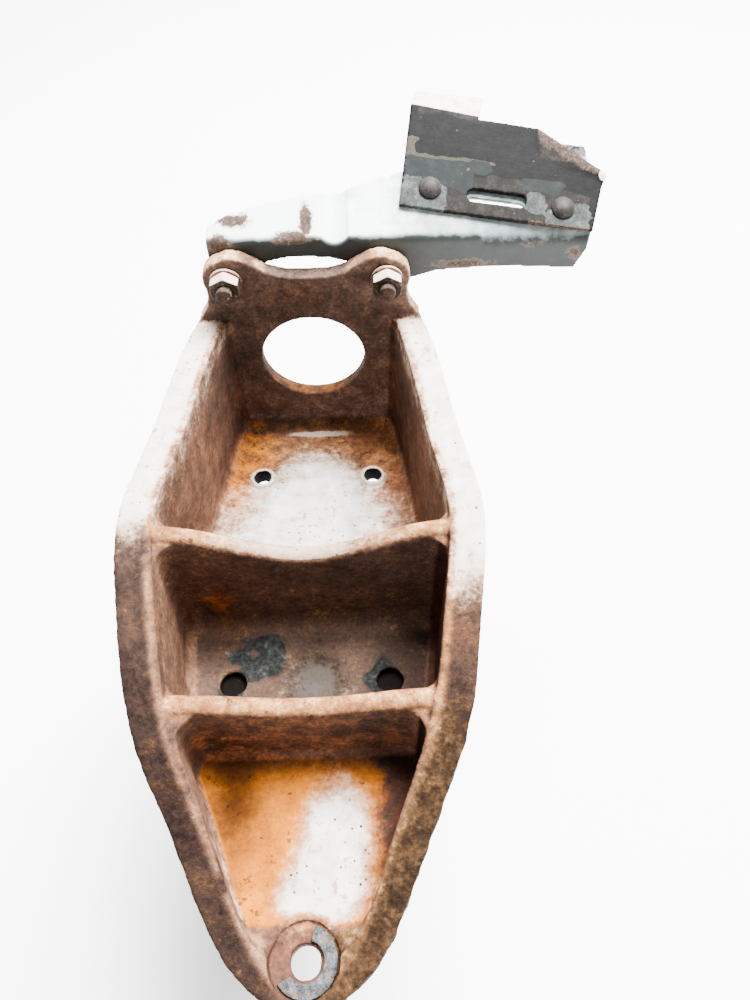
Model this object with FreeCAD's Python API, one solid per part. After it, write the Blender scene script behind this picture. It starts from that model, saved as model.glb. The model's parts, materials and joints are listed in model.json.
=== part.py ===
import FreeCAD, Part
import os
from math import cos, pi, radians, sin, sqrt

os.makedirs("parts", exist_ok=True)
V = FreeCAD.Vector

# Spare tire carrier: a cast iron bucket arm, a pressed bracket bolted behind
# its mount wall and a slotted bracket riveted on top.  Millimetres.
# X runs across the arm, Y from the tip to the mount wall, Z up.
# The origin is the centre of the tip bolt hole on its machined seat.

# Arm, plan: distance along the arm and half width over the rim.
RIM_PLAN = ((372, 66), (350, 71), (328, 75.3), (291, 80.6), (227, 88.6), (202, 92.3),
            (180, 92.8), (155, 90), (125, 85.7), (100, 81.7), (84, 77.2), (61, 66.6),
            (38, 55.7), (15, 44.8), (0, 35.8), (-11, 24.2), (-18.5, 12))
NOSE_Y = -21.5
# Arm, side: distance along the arm and height of the rim.
RIM_SIDE = ((-40, 6), (-21, 9), (0, 14), (21, 23), (60, 45), (98, 67), (130, 82),
            (160, 90), (185, 92), (215, 91), (260, 88), (310, 86.5), (340, 83.5), (360, 80.5))
# Arm, side: distance along the arm and height of the floor inside.
FLOOR_SIDE = ((-40, 3), (0, 3), (60, 2.5), (137, 2), (180, -2), (240, -8), (292, -12),
              (330, -14), (372, -15))
FLOOR_THICK = 9
LAND = 18
LAND_TIP = 14
FLANGE_LIP = 9
FLANGE_THICK = 12
POCKET_R = 10
HIGH = 160
HALF_SPAN = 120

# Mount wall with two ears.
WALL_BACK = 357
WALL_THICK = 10
WALL_FRONT = WALL_BACK - WALL_THICK
BOLT_X = 49
BOLT_Z = 112
EAR_R = 14.5
WALL_TOP = 113.5
WALL_NECK = 62.3
WALL_FOOT = 70.8
BIG_HOLE_R = 34.5
BIG_HOLE_Z = 47.7

# Cross ribs: distance along the arm, end height, middle height, half length.
RIB_THICK = 10
RIBS = ((180, 85.5, 63, 77), (100, 61, 53, 67))

# Holes in the floor.
SMALL_HOLE_X = 38
SMALL_HOLE_Y = 289.5
SMALL_HOLE_R = 5.5
SMALL_BOSS_R = 8.4
SMALL_BOSS_LOW = -18
SMALL_BOSS_TOP = -8.5
MID_HOLE_X = 44
MID_HOLE_Y = 134.5
MID_HOLE_R = 7.5
MID_HOLE_END_Z = -4
TIP_HOLE_R = 7.4
TIP_SEAT_R = 16.6
TIP_PAD_R = 23
TIP_PAD_Z = -12

# Fasteners.
GAP = 0.3
BOLT_R = 5
BOLT_HOLE_R = 5.5
NUT_FLATS = 17
NUT_H = 8
THREAD_FIT = 0.08
STUD_OUT = 4.5
HEAD_H = 6.4
WASHER_R = 10
WASHER_HOLE_R = 5.3
WASHER_H = 2

# Sheet brackets.
SHEET = 3
FOLD_Z = 133
FOLD_R = 3
FOLD_R_WIDE = 11
SLOPE_DEG = 30
BACK_Y = WALL_BACK + GAP
LEFT_X = -59
STEP_X = 106
RIGHT_X = 172.1
GROOVE_X = 18
GROOVE_R = 11
GROOVE_LIFT = 7
RIVET_R = 3.4
RIVET_HEAD_R = 7.2
RIVET_HEAD_H = 3.6
RIVET_PLACES = ((17.2, 13.1), (97.3, 11.7))
SLOT_PLACE = (57.5, 12.5)
SLOT_OFFSET = 4
SLOT_LONG = 36
SLOT_WIDE = 8
PLATE_CORNER = (56.6, 19.1)
PLATE_TURN_DEG = 9.3
PLATE_OUTLINE = ((0, 0), (116.5, 0), (119.8, 37.1), (76.2, 59.8), (40.3, 60.5), (-1.1, 64.9))
TOP_FLANGE_OUTS = (25, 15)
TOP_FLANGE_DEG = 30


def spline(points):
    curve = Part.BSplineCurve()
    curve.interpolate([V(*p) for p in points])
    return curve


def polygon_face(points):
    loop = [V(*p) for p in points]
    loop.append(loop[0])
    return Part.Face(Part.makePolygon(loop))


def box(x0, x1, y0, y1, z0, z1):
    return Part.makeBox(x1 - x0, y1 - y0, z1 - z0, V(x0, y0, z0))


def rod(x, y, z, radius, length, axis):
    return Part.makeCylinder(radius, length, V(x, y, z), V(*axis))


def mirrored(points):
    return [(-x, y, z) for x, y, z in reversed(points)]


def land_width(y):
    # The rim narrows towards the tip.
    share = min(1.0, max(0.0, (y - 10) / 70.0))
    return LAND_TIP + (LAND - LAND_TIP) * share


def rim_curve():
    right = [(w, y, 0) for y, w in RIM_PLAN]
    return spline(right + [(0, NOSE_Y, 0)] + mirrored(right))


def plan_prism(inset):
    # Upright block whose outline sits inside the rim outline by inset(y).
    curve = rim_curve()
    steps = 44
    first, last = curve.FirstParameter, curve.LastParameter
    points = []
    for i in range(steps + 1):
        t = first + (last - first) * i / steps
        spot = curve.value(t)
        along = curve.tangent(t)[0]
        inward = V(along.y, -along.x, 0)
        if inward.dot(V(0, 170, 0) - spot) < 0:
            inward = inward * -1
        moved = spot + inward * inset(spot.y)
        points.append((moved.x, moved.y, 0))
    edge = spline(points).toShape()
    closing = Part.makeLine(edge.Vertexes[-1].Point, edge.Vertexes[0].Point)
    face = Part.Face(Part.Wire([edge, closing]))
    face.translate(V(0, 0, -HIGH))
    return face.extrude(V(0, 0, 2 * HIGH))


def side_slab(upper, lower, y_end):
    # Solid between two height curves, right across the arm.
    top = spline([(0, y, z) for y, z in upper]).toShape()
    under = spline([(0, y, z) for y, z in lower]).toShape()
    ends = [Part.makeLine(top.Vertexes[i].Point, under.Vertexes[i].Point) for i in (0, -1)]
    wire = Part.Wire(Part.__sortEdges__([top, under] + ends))
    face = Part.Face(wire)
    face.translate(V(-HALF_SPAN, 0, 0))
    solid = face.extrude(V(2 * HALF_SPAN, 0, 0))
    return solid.common(box(-HALF_SPAN, HALF_SPAN, -80, y_end, -HIGH, 2 * HIGH))


def shifted(profile, rise):
    return [(y, z + rise) for y, z in profile]


def arm_flange():
    slab = side_slab(RIM_SIDE, shifted(RIM_SIDE, -FLANGE_THICK), WALL_BACK)
    return plan_prism(lambda y: 0).common(slab)


def arm_body():
    lower = side_slab(shifted(RIM_SIDE, -3), shifted(FLOOR_SIDE, -FLOOR_THICK), WALL_BACK)
    return plan_prism(lambda y: FLANGE_LIP * min(1.0, 0.45 + max(0.0, y) / 120.0)).common(lower)


def bay(y0, y1):
    # One pocket of the bucket, with rounded corners and a rounded floor edge.
    hollow = plan_prism(land_width)
    hollow = hollow.common(side_slab([(y, HIGH) for y, z in FLOOR_SIDE], FLOOR_SIDE, y1))
    hollow = hollow.common(box(-HALF_SPAN, HALF_SPAN, y0, y1, -HIGH, HIGH))
    edges = [e for e in hollow.Edges if e.BoundBox.ZMin < HIGH - 5]
    return hollow.makeFillet(POCKET_R, edges)


def rib_dip(rib):
    y, end_z, mid_z, half = rib
    points = []
    for i in range(9):
        x = -half + 2 * half * i / 8
        points.append((x, y, mid_z + (end_z - mid_z) * (1 - cos(pi * x / half)) / 2))
    return spline(points).toShape()


def rib_trim(rib):
    # Everything above the dipped top of a rib, inside the rim.
    y, end_z, mid_z, half = rib
    curve = rib_dip(rib)
    reach = RIB_THICK / 2 + POCKET_R
    a, b = curve.Vertexes[0].Point, curve.Vertexes[-1].Point
    roof = [a, V(a.x, y, HIGH), V(b.x, y, HIGH), b]
    face = Part.Face(Part.Wire([curve] + [Part.makeLine(roof[i + 1], roof[i]) for i in (2, 1, 0)]))
    face.translate(V(0, -reach, 0))
    trim = face.extrude(V(0, 2 * reach, 0))
    return trim.common(plan_prism(land_width))


def rib_cap(rib):
    # The rounded top of a rib.
    curve = rib_dip(rib)
    start = curve.Vertexes[0].Point
    along = curve.tangentAt(curve.FirstParameter)
    ring = Part.Wire(Part.makeCircle(RIB_THICK / 2 + 0.1, start, along))
    return Part.Wire(curve).makePipeShell([ring], True, False)


def mount_wall():
    # The plate between the bays and the bolts, with two ears on top.
    neck = WALL_NECK
    half = [(0, WALL_TOP), (15, WALL_TOP + 1), (24, 117.5), (31.5, 122.7), (38, 126.4),
            (43.5, 128), (48, 127.8), (53, 125.6), (57.5, 121.4), (60.8, 116.5), (neck, 111),
            (neck, 100), (neck + 1, 95), (neck + 2.7, 91), (neck + 5.2, 87), (neck + 8, 83),
            (WALL_FOOT, 79), (WALL_FOOT, 73), (neck, 69), (neck, 40)]
    right = [(x, WALL_FRONT, z) for x, z in half]
    plate = polygon_face(right + mirrored(right)[:-1]).extrude(V(0, WALL_THICK, 0))
    for side in (-1, 1):
        plate = plate.fuse(rod(side * BOLT_X, WALL_FRONT, BOLT_Z, EAR_R, WALL_THICK, (0, 1, 0)))
    return plate.removeSplitter()


def carrier_casting():
    body = arm_body().fuse(arm_flange())
    rib_faces = []
    for rib in reversed(RIBS):
        rib_faces += [rib[0] - RIB_THICK / 2, rib[0] + RIB_THICK / 2]
    limits = [-80] + rib_faces + [WALL_FRONT]
    for y0, y1 in zip(limits[::2], limits[1::2]):
        body = body.cut(bay(y0, y1))
    for rib in RIBS:
        body = body.cut(rib_trim(rib))
        body = body.fuse(rib_cap(rib))
    body = body.fuse(mount_wall())
    body = body.fuse(rod(0, 0, TIP_PAD_Z, TIP_PAD_R, 3 - TIP_PAD_Z, (0, 0, 1)))
    for side in (-1, 1):
        x = side * SMALL_HOLE_X
        body = body.fuse(rod(x, SMALL_HOLE_Y, SMALL_BOSS_LOW, SMALL_BOSS_R,
                             SMALL_BOSS_TOP - SMALL_BOSS_LOW, (0, 0, 1)))
        body = body.cut(rod(x, SMALL_HOLE_Y, -40, SMALL_HOLE_R, 60, (0, 0, 1)))
        body = body.cut(rod(side * MID_HOLE_X, MID_HOLE_Y, MID_HOLE_END_Z, MID_HOLE_R, 20, (0, 0, 1)))
        body = body.cut(rod(side * BOLT_X, WALL_FRONT - 20, BOLT_Z, BOLT_HOLE_R, 40, (0, 1, 0)))
    body = body.cut(rod(0, WALL_FRONT - 20, BIG_HOLE_Z, BIG_HOLE_R, 40, (0, 1, 0)))
    body = body.cut(rod(0, 0, 0, TIP_SEAT_R, 40, (0, 0, 1)))
    return body.cut(rod(0, 0, -40, TIP_HOLE_R, 60, (0, 0, 1)))


def slope_frame():
    # Placement whose XY plane is the top of the inclined sheet, x along the fold.
    turn = FreeCAD.Rotation(V(1, 0, 0), SLOPE_DEG)
    return FreeCAD.Placement(V(0, BACK_Y, FOLD_Z), turn)


def placed(shape, placement):
    moved = shape.copy()
    moved.Placement = placement.multiply(moved.Placement)
    return moved


def folded_strip(x0, x1, radius):
    # Vertical leg and inclined leg joined by a bend, between x0 and x1.
    rise = radians(SLOPE_DEG)
    reach = 90
    drop = 60
    outer = [V(x0, BACK_Y, FOLD_Z - drop), V(x0, BACK_Y, FOLD_Z),
             V(x0, BACK_Y + reach * cos(rise), FOLD_Z + reach * sin(rise))]
    back = SHEET * (1 - sin(rise)) / cos(rise)
    inner = [V(x0, BACK_Y + SHEET, FOLD_Z - drop), V(x0, BACK_Y + SHEET, FOLD_Z - back),
             V(x0, BACK_Y + reach * cos(rise) + SHEET * sin(rise),
               FOLD_Z + reach * sin(rise) - SHEET * cos(rise))]
    strip = Part.Face(Part.makePolygon(outer + inner[::-1] + outer[:1])).extrude(V(x1 - x0, 0, 0))
    along = []
    for edge in strip.Edges:
        long_way = abs(edge.Vertexes[0].Point.x - edge.Vertexes[-1].Point.x) > 1
        height = edge.Vertexes[0].Point.z
        if long_way and abs(height - FOLD_Z) < 0.01:
            along.append((edge, radius + SHEET))
        if long_way and abs(height - FOLD_Z + back) < 0.01:
            along.append((edge, radius))
    for edge, r in along:
        strip = round_edge_near(strip, edge.CenterOfMass, r)
    return strip


def round_edge_near(shape, spot, radius):
    near = min(shape.Edges, key=lambda e: (e.CenterOfMass - spot).Length)
    return shape.makeFillet(radius, [near])


def slope_prism(points, low, high):
    face = polygon_face([(x, v, low) for x, v in points])
    return placed(face.extrude(V(0, 0, high - low)), slope_frame())


def slot_tool(long, wide, low, high, drop=0):
    # Round ended slot in the frame of the slotted bracket.
    u, w = SLOT_PLACE[0], SLOT_PLACE[1] - drop
    half = (long - wide) / 2
    tool = box(u - half, u + half, w - wide / 2, w + wide / 2, low, high)
    for side in (-1, 1):
        tool = tool.fuse(rod(u + side * half, w, low, wide / 2, high - low, (0, 0, 1)))
    return tool.removeSplitter()


def plate_frame():
    # Placement of the slotted bracket: its corner, turned on the slope.
    turn = FreeCAD.Rotation(V(0, 0, 1), -PLATE_TURN_DEG)
    corner = FreeCAD.Placement(V(PLATE_CORNER[0], PLATE_CORNER[1], 0), turn)
    return slope_frame().multiply(corner)


def pressed_groove():
    frame = slope_frame()
    long = 110
    outer = placed(rod(GROOVE_X, -40, GROOVE_LIFT, GROOVE_R + SHEET, long, (0, 1, 0)), frame)
    inner = placed(rod(GROOVE_X, -41, GROOVE_LIFT, GROOVE_R, long + 2, (0, 1, 0)), frame)
    behind = box(-HALF_SPAN, HALF_SPAN, BACK_Y, BACK_Y + 200, 0, 300)
    below = slope_prism(((-90, -90), (90, -90), (90, 90), (-90, 90)), -60, 0)
    shell = outer.cut(inner).common(behind).common(below)
    return shell, inner


def upper_bracket():
    sheet = folded_strip(LEFT_X, STEP_X, FOLD_R).fuse(folded_strip(STEP_X, RIGHT_X, FOLD_R_WIDE))
    shell, inner = pressed_groove()
    sheet = sheet.cut(inner).fuse(shell)
    top_edge = ((-90, -30), (LEFT_X, -1), (-57.7, 10.5), (-44, 17.7), (-20, 25), (4, 29),
                (25, 32), (58, 41.5), (100, 54), (112, 58), (156, 58), (170.8, 55.8),
                (RIGHT_X, 46.8), (RIGHT_X + 30, -30))
    keep = slope_prism(top_edge, -80, 40)
    lower = ((LEFT_X, FOLD_Z + 2), (LEFT_X, 112), (-54, 101), (-47, 97), (-38, 101), (-31, 112),
             (-24, 118), (-12.6, 120.6), (1, 121), (14.7, 120), (25.5, 116.8), (31, 112),
             (38, 101), (47, 97), (55, 100), (61, 103.2), (80.6, 109.5), (116.5, 111.6),
             (165.5, 109), (171, 122), (RIGHT_X, 132.4), (RIGHT_X + 30, 300),
             (LEFT_X - 30, 300))
    skirt = polygon_face([(x, BACK_Y - 30, z) for x, z in lower]).extrude(V(0, 200, 0))
    sheet = sheet.common(keep).common(skirt)
    for side in (-1, 1):
        sheet = sheet.cut(rod(side * BOLT_X, BACK_Y - 5, BOLT_Z, BOLT_HOLE_R, 20, (0, 1, 0)))
    sheet = sheet.cut(placed(slot_tool(SLOT_LONG, SLOT_WIDE, -20, 20, SLOT_OFFSET), plate_frame()))
    for u, w in RIVET_PLACES:
        sheet = sheet.cut(placed(rod(u, w, -20, RIVET_R + GAP, 40, (0, 0, 1)), plate_frame()))
    return sheet.removeSplitter()


def bent_flange(corner, far, outs, down_deg, low):
    # Strip folded back from the edge corner-far, as wide at its two ends as outs.
    a, b = V(corner[0], corner[1], low), V(far[0], far[1], low)
    along = (b - a).normalize()
    away = V(along.y, -along.x, 0)
    fall = radians(down_deg)
    out = away * cos(fall) - V(0, 0, sin(fall))
    thick = (away * sin(fall) + V(0, 0, cos(fall))) * SHEET
    wedge = Part.Face(Part.makePolygon([a, a + V(0, 0, SHEET), a + thick, a])).extrude(b - a)
    strip = Part.Face(Part.makePolygon([a, b, b + out * outs[1], a + out * outs[0], a]))
    return strip.extrude(thick).fuse(wedge)


def slotted_bracket():
    plate = polygon_face([(u, w, GAP) for u, w in PLATE_OUTLINE]).extrude(V(0, 0, SHEET))
    flange_end, flange_start = PLATE_OUTLINE[4:]
    plate = plate.fuse(bent_flange(flange_end, flange_start, TOP_FLANGE_OUTS, TOP_FLANGE_DEG, GAP))
    plate = plate.cut(slot_tool(SLOT_LONG, SLOT_WIDE, -20, 20))
    for u, w in RIVET_PLACES:
        plate = plate.cut(rod(u, w, -20, RIVET_R + GAP, 40, (0, 0, 1)))
    return placed(plate.removeSplitter(), plate_frame())


def dome(u, w, base, up):
    # Low round rivet head on a flat base.
    ball_r = (RIVET_HEAD_R ** 2 + RIVET_HEAD_H ** 2) / (2 * RIVET_HEAD_H)
    centre = base + up * (RIVET_HEAD_H - ball_r)
    ball = Part.makeSphere(ball_r, V(u, w, centre))
    low, high = sorted((base, base + up * RIVET_HEAD_H * 2))
    return ball.common(box(u - 20, u + 20, w - 20, w + 20, low, high))


def rivet(place):
    u, w = place
    top = GAP + SHEET + GAP
    bottom = -SHEET - GAP
    body = rod(u, w, bottom - 0.5, RIVET_R, top - bottom + 1, (0, 0, 1))
    body = body.fuse(dome(u, w, top, 1)).fuse(dome(u, w, bottom, -1))
    return placed(body.removeSplitter(), plate_frame())


def hexagon(x, y, z, flats, height):
    # Hexagonal prism along Y with one corner up and chamfered corners.
    corner = flats / sqrt(3)
    points = [(x + corner * sin(k * pi / 3), y, z + corner * cos(k * pi / 3)) for k in range(6)]
    prism = polygon_face(points).extrude(V(0, height, 0))
    for face_y, back in ((y, 1), (y + height, -1)):
        cone = Part.makeCone(flats / 2 - 0.2, flats / 2 - 0.2 + 2 * height, height,
                             V(x, face_y, z), V(0, back, 0))
        prism = prism.common(cone)
    return prism


def washer_back():
    return WALL_FRONT - GAP


def nut_back():
    return washer_back() - WASHER_H - GAP


def bolt(side):
    x = side * BOLT_X
    head_y = BACK_Y + SHEET + GAP
    tip_y = nut_back() - NUT_H - STUD_OUT
    shank = rod(x, tip_y, BOLT_Z, BOLT_R, head_y - tip_y + 1, (0, 1, 0))
    shank = round_edge_near(shank, V(x, tip_y, BOLT_Z), 1.2)
    return shank.fuse(hexagon(x, head_y, BOLT_Z, NUT_FLATS, HEAD_H)).removeSplitter()


def nut(side):
    x = side * BOLT_X
    body = hexagon(x, nut_back() - NUT_H, BOLT_Z, NUT_FLATS, NUT_H)
    return body.cut(rod(x, nut_back() - 20, BOLT_Z, BOLT_R + THREAD_FIT, 40, (0, 1, 0)))


def flat_washer(side):
    x = side * BOLT_X
    ring = rod(x, washer_back() - WASHER_H, BOLT_Z, WASHER_R, WASHER_H, (0, 1, 0))
    return ring.cut(rod(x, 0, BOLT_Z, WASHER_HOLE_R, 500, (0, 1, 0)))


def tip_washer():
    # Remains of a washer rusted into the tip seat: a broken ring.
    ring = rod(0, 0, GAP, 15.2, 2.6, (0, 0, 1))
    ring = ring.cut(rod(0, 0, -5, 8.6, 20, (0, 0, 1)))
    gap_points = ((0, 0), (9, 30), (-30, 30), (-30, -16), (-3, -4))
    gap = polygon_face([(x, y, -5) for x, y in gap_points]).extrude(V(0, 0, 20))
    return ring.cut(gap)


def write(name, shape):
    solids = shape.Solids
    if len(solids) != 1 or not shape.isValid():
        raise ValueError("%s: %d solids, valid %s" % (name, len(solids), shape.isValid()))
    solids[0].exportStep("parts/%s.step" % name)


write("carrier_casting", carrier_casting())
write("upper_bracket", upper_bracket())
write("slotted_bracket", slotted_bracket())
write("left_rivet", rivet(RIVET_PLACES[0]))
write("right_rivet", rivet(RIVET_PLACES[1]))
write("tip_washer", tip_washer())
for label, side in (("left", -1), ("right", 1)):
    write(label + "_bolt", bolt(side))
    write(label + "_nut", nut(side))
    write(label + "_washer", flat_washer(side))
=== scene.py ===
"""Spare tire carrier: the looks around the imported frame.  Metres, the frame's own axes.

The casting and the sheet brackets are remeshed copies of their CAD nodes, worn in mesh code;
each carries soft masks (paint, rust tone and so on) that its node material breaks up with noise.
"""
import json
import math

import bpy
import numpy as np
from mathutils import Euler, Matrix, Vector


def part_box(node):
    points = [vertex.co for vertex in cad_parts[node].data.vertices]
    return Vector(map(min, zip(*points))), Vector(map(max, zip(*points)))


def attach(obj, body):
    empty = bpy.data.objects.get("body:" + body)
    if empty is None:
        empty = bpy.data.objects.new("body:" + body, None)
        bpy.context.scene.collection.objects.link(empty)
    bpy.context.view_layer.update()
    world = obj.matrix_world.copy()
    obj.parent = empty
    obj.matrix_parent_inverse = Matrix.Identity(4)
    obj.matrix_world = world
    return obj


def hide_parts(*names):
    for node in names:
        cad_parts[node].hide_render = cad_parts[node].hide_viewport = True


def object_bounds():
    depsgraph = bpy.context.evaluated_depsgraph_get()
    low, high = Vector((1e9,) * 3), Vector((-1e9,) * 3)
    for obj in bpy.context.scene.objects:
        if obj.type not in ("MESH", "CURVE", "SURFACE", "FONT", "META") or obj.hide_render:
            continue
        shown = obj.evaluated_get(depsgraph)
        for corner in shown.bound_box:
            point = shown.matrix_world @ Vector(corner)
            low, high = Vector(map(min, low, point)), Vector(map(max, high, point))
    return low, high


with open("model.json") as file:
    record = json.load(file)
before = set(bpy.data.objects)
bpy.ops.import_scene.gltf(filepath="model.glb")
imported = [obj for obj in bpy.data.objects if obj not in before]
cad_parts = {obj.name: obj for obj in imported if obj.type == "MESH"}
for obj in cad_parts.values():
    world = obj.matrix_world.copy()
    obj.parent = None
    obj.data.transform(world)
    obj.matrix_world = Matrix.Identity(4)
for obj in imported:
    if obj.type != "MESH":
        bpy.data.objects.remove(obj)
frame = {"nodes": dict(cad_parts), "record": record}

CAD_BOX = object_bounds()
MM = 0.001
MOUNTS = {m["name"]: Vector(m["pos_m"]) for m in frame["record"]["mounts"]}


# ---------------------------------------------------------------- mesh tools

def mesh_points(mesh):
    co = np.empty(len(mesh.vertices) * 3, np.float32)
    mesh.vertices.foreach_get("co", co)
    return co.reshape(-1, 3).astype(float)


def mesh_normals(mesh):
    normals = np.empty(len(mesh.vertices) * 3, np.float32)
    mesh.vertex_normals.foreach_get("vector", normals)
    return normals.reshape(-1, 3).astype(float)


def set_points(mesh, points):
    mesh.vertices.foreach_set("co", points.astype(np.float32).ravel())
    mesh.update()


def add_mask(mesh, name, values):
    layer = mesh.attributes.new(name, "FLOAT", "POINT")
    layer.data.foreach_set("value", np.clip(values, -1, 1).astype(np.float32))


def lattice(cells, seed):
    """Repeatable random value in 0..1 for each integer cell."""
    mixed = cells[..., 0] * 374761393 + cells[..., 1] * 668265263 + cells[..., 2] * 2147483647
    mixed = (mixed + seed * 1274126177) & 0xFFFFFFFF
    mixed = ((mixed ^ (mixed >> 13)) * 1103515245) & 0xFFFFFFFF
    mixed = (mixed ^ (mixed >> 16)) & 0xFFFF
    return mixed / 65535.0


def smooth_noise(points, size, seed):
    """Value noise of about -1..1 with features of the given size."""
    spot = points / size
    cell = np.floor(spot).astype(np.int64)
    part = spot - cell
    part = part * part * (3 - 2 * part)
    total = np.zeros(len(points))
    for corner in np.ndindex(2, 2, 2):
        offset = np.array(corner)
        weight = np.prod(np.where(offset == 1, part, 1 - part), axis=1)
        total += weight * lattice(cell + offset, seed)
    return total * 2 - 1


def rough_noise(points, size, seed, octaves=4):
    total = np.zeros(len(points))
    for k in range(octaves):
        total += smooth_noise(points + 7.3 * k, size / 2 ** k, seed + k) / 2 ** k
    return total / 1.6


def step(low, high, values):
    """Soft step from 0 at low to 1 at high."""
    t = np.clip((values - low) / (high - low), 0, 1)
    return t * t * (3 - 2 * t)


def blob(points, centre, radii):
    """Soft ellipsoid: 1 at its centre, fading to 0."""
    return np.exp(-np.sum(((points - np.array(centre)) / np.array(radii)) ** 2, axis=1))


def remeshed(node, name, voxel, smoothing):
    """A fine, evenly meshed copy of a CAD node with its edges softened."""
    obj = bpy.data.objects.new(name, frame["nodes"][node].data.copy())
    bpy.context.scene.collection.objects.link(obj)
    remesh = obj.modifiers.new("remesh", "REMESH")
    remesh.mode = "VOXEL"
    remesh.voxel_size = voxel
    soften = obj.modifiers.new("soften", "SMOOTH")
    soften.factor = 0.5
    soften.iterations = smoothing
    graph = bpy.context.evaluated_depsgraph_get()
    mesh = bpy.data.meshes.new_from_object(obj.evaluated_get(graph))
    obj.modifiers.clear()
    obj.data = mesh
    mesh.materials.clear()
    mesh.shade_smooth()
    return obj


def finish_piece(obj, body, material, node=None):
    obj.data.materials.append(material)
    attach(obj, body)
    if node:
        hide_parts(node)


# ---------------------------------------------------------------- node tools

class Look:
    """A small writer for node materials. Sizes are in millimetres."""

    def __init__(self, name):
        self.material = bpy.data.materials.new(name)
        self.material.use_nodes = True
        self.tree = self.material.node_tree
        self.shader = self.tree.nodes["Principled BSDF"]
        self.place = self.node("ShaderNodeTexCoord").outputs["Object"]

    def node(self, kind, **settings):
        made = self.tree.nodes.new(kind)
        for key, value in settings.items():
            setattr(made, key, value)
        return made

    def feed(self, socket, value):
        if isinstance(value, bpy.types.NodeSocket):
            self.tree.links.new(value, socket)
        elif isinstance(value, (tuple, list)):
            socket.default_value = (*value,
                                    1.0) if len(value) == 3 and socket.type == "RGBA" else value
        else:
            socket.default_value = value

    def math(self, operation, a, b=0.0):
        made = self.node("ShaderNodeMath", operation=operation)
        self.feed(made.inputs[0], a)
        self.feed(made.inputs[1], b)
        return made.outputs[0]

    def add(self, *terms):
        total = terms[0]
        for term in terms[1:]:
            total = self.math("ADD", total, term)
        return total

    def scaled(self, value, factor, middle=0.5):
        """(value - middle) * factor."""
        return self.math("MULTIPLY", self.math("SUBTRACT", value, middle), factor)

    def noise(self, size, detail=4.0, rough=0.55, shift=0.0, stretch=(1, 1, 1)):
        mapping = self.node("ShaderNodeMapping")
        self.feed(mapping.inputs["Vector"], self.place)
        mapping.inputs["Location"].default_value = (shift, shift * 0.7, -shift)
        mapping.inputs["Scale"].default_value = stretch
        made = self.node("ShaderNodeTexNoise")
        self.feed(made.inputs["Vector"], mapping.outputs[0])
        made.inputs["Scale"].default_value = 1 / (size * MM)
        made.inputs["Detail"].default_value = detail
        made.inputs["Roughness"].default_value = rough
        return made.outputs["Fac"]

    def cells(self, size):
        made = self.node("ShaderNodeTexVoronoi")
        self.feed(made.inputs["Vector"], self.place)
        made.inputs["Scale"].default_value = 1 / (size * MM)
        return made.outputs["Distance"]

    def mask(self, name):
        return self.node("ShaderNodeAttribute", attribute_name=name).outputs["Fac"]

    def times(self, *factors):
        product = factors[0]
        for factor in factors[1:]:
            product = self.math("MULTIPLY", product, factor)
        return product

    def step(self, value, low, high):
        made = self.node("ShaderNodeMapRange", interpolation_type="SMOOTHSTEP")
        self.feed(made.inputs["Value"], value)
        made.inputs["From Min"].default_value = low
        made.inputs["From Max"].default_value = high
        return made.outputs["Result"]

    def ramp(self, value, stops):
        made = self.node("ShaderNodeValToRGB")
        self.feed(made.inputs[0], value)
        band = made.color_ramp.elements
        band[0].position, band[1].position = stops[0][0], stops[-1][0]
        band[0].color, band[1].color = (*stops[0][1], 1), (*stops[-1][1], 1)
        for position, colour in stops[1:-1]:
            band.new(position).color = (*colour, 1)
        return made.outputs[0]

    def blend(self, share, a, b, blend_type="MIX"):
        made = self.node("ShaderNodeMix", data_type="RGBA", blend_type=blend_type)
        self.feed(made.inputs[0], share)
        self.feed(made.inputs[6], a)
        self.feed(made.inputs[7], b)
        return made.outputs[2]

    def bump(self, height, depth, strength=1.0, normal=None):
        made = self.node("ShaderNodeBump")
        made.inputs["Strength"].default_value = strength
        made.inputs["Distance"].default_value = depth * MM
        self.feed(made.inputs["Height"], height)
        if normal is not None:
            self.feed(made.inputs["Normal"], normal)
        return made.outputs[0]

    def finish(self, colour, roughness, normal, metallic=0.0, specular=0.25):
        self.shader.inputs["Specular IOR Level"].default_value = specular
        self.feed(self.shader.inputs["Base Color"], colour)
        self.feed(self.shader.inputs["Roughness"], roughness)
        self.feed(self.shader.inputs["Normal"], normal)
        self.shader.inputs["Metallic"].default_value = metallic
        return self.material


RUST = ((0.0, (0.004, 0.0022, 0.0016)), (0.2, (0.015, 0.0075, 0.005)),
        (0.4, (0.042, 0.023, 0.0165)),
        (0.58, (0.1, 0.044, 0.023)), (0.75, (0.21, 0.082, 0.03)), (0.9, (0.36, 0.165, 0.066)),
        (1.0, (0.5, 0.34, 0.2)))
ORANGE = ((0.2, (0.08, 0.024, 0.004)), (0.45, (0.2, 0.055, 0.004)), (0.7, (0.45, 0.125, 0.001)),
          (0.9, (0.62, 0.23, 0.004)))
RED = ((0.15, (0.011, 0.0045, 0.0035)), (0.45, (0.06, 0.019, 0.012)), (0.75, (0.15, 0.048, 0.027)),
       (0.95, (0.32, 0.15, 0.09)))
KHAKI = ((0.2, (0.008, 0.004, 0.0022)), (0.45, (0.03, 0.016, 0.007)), (0.65, (0.085, 0.042, 0.017)),
         (0.85, (0.22, 0.135, 0.07)))
DULL = ((0.2, (0.014, 0.0092, 0.0075)), (0.45, (0.054, 0.035, 0.028)), (0.65, (0.11, 0.07, 0.054)),
        (0.85, (0.24, 0.165, 0.135)))
ASH = ((0.2, (0.005, 0.005, 0.005)), (0.45, (0.02, 0.021, 0.02)), (0.65, (0.05, 0.053, 0.05)),
       (0.85, (0.16, 0.165, 0.155)))


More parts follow.
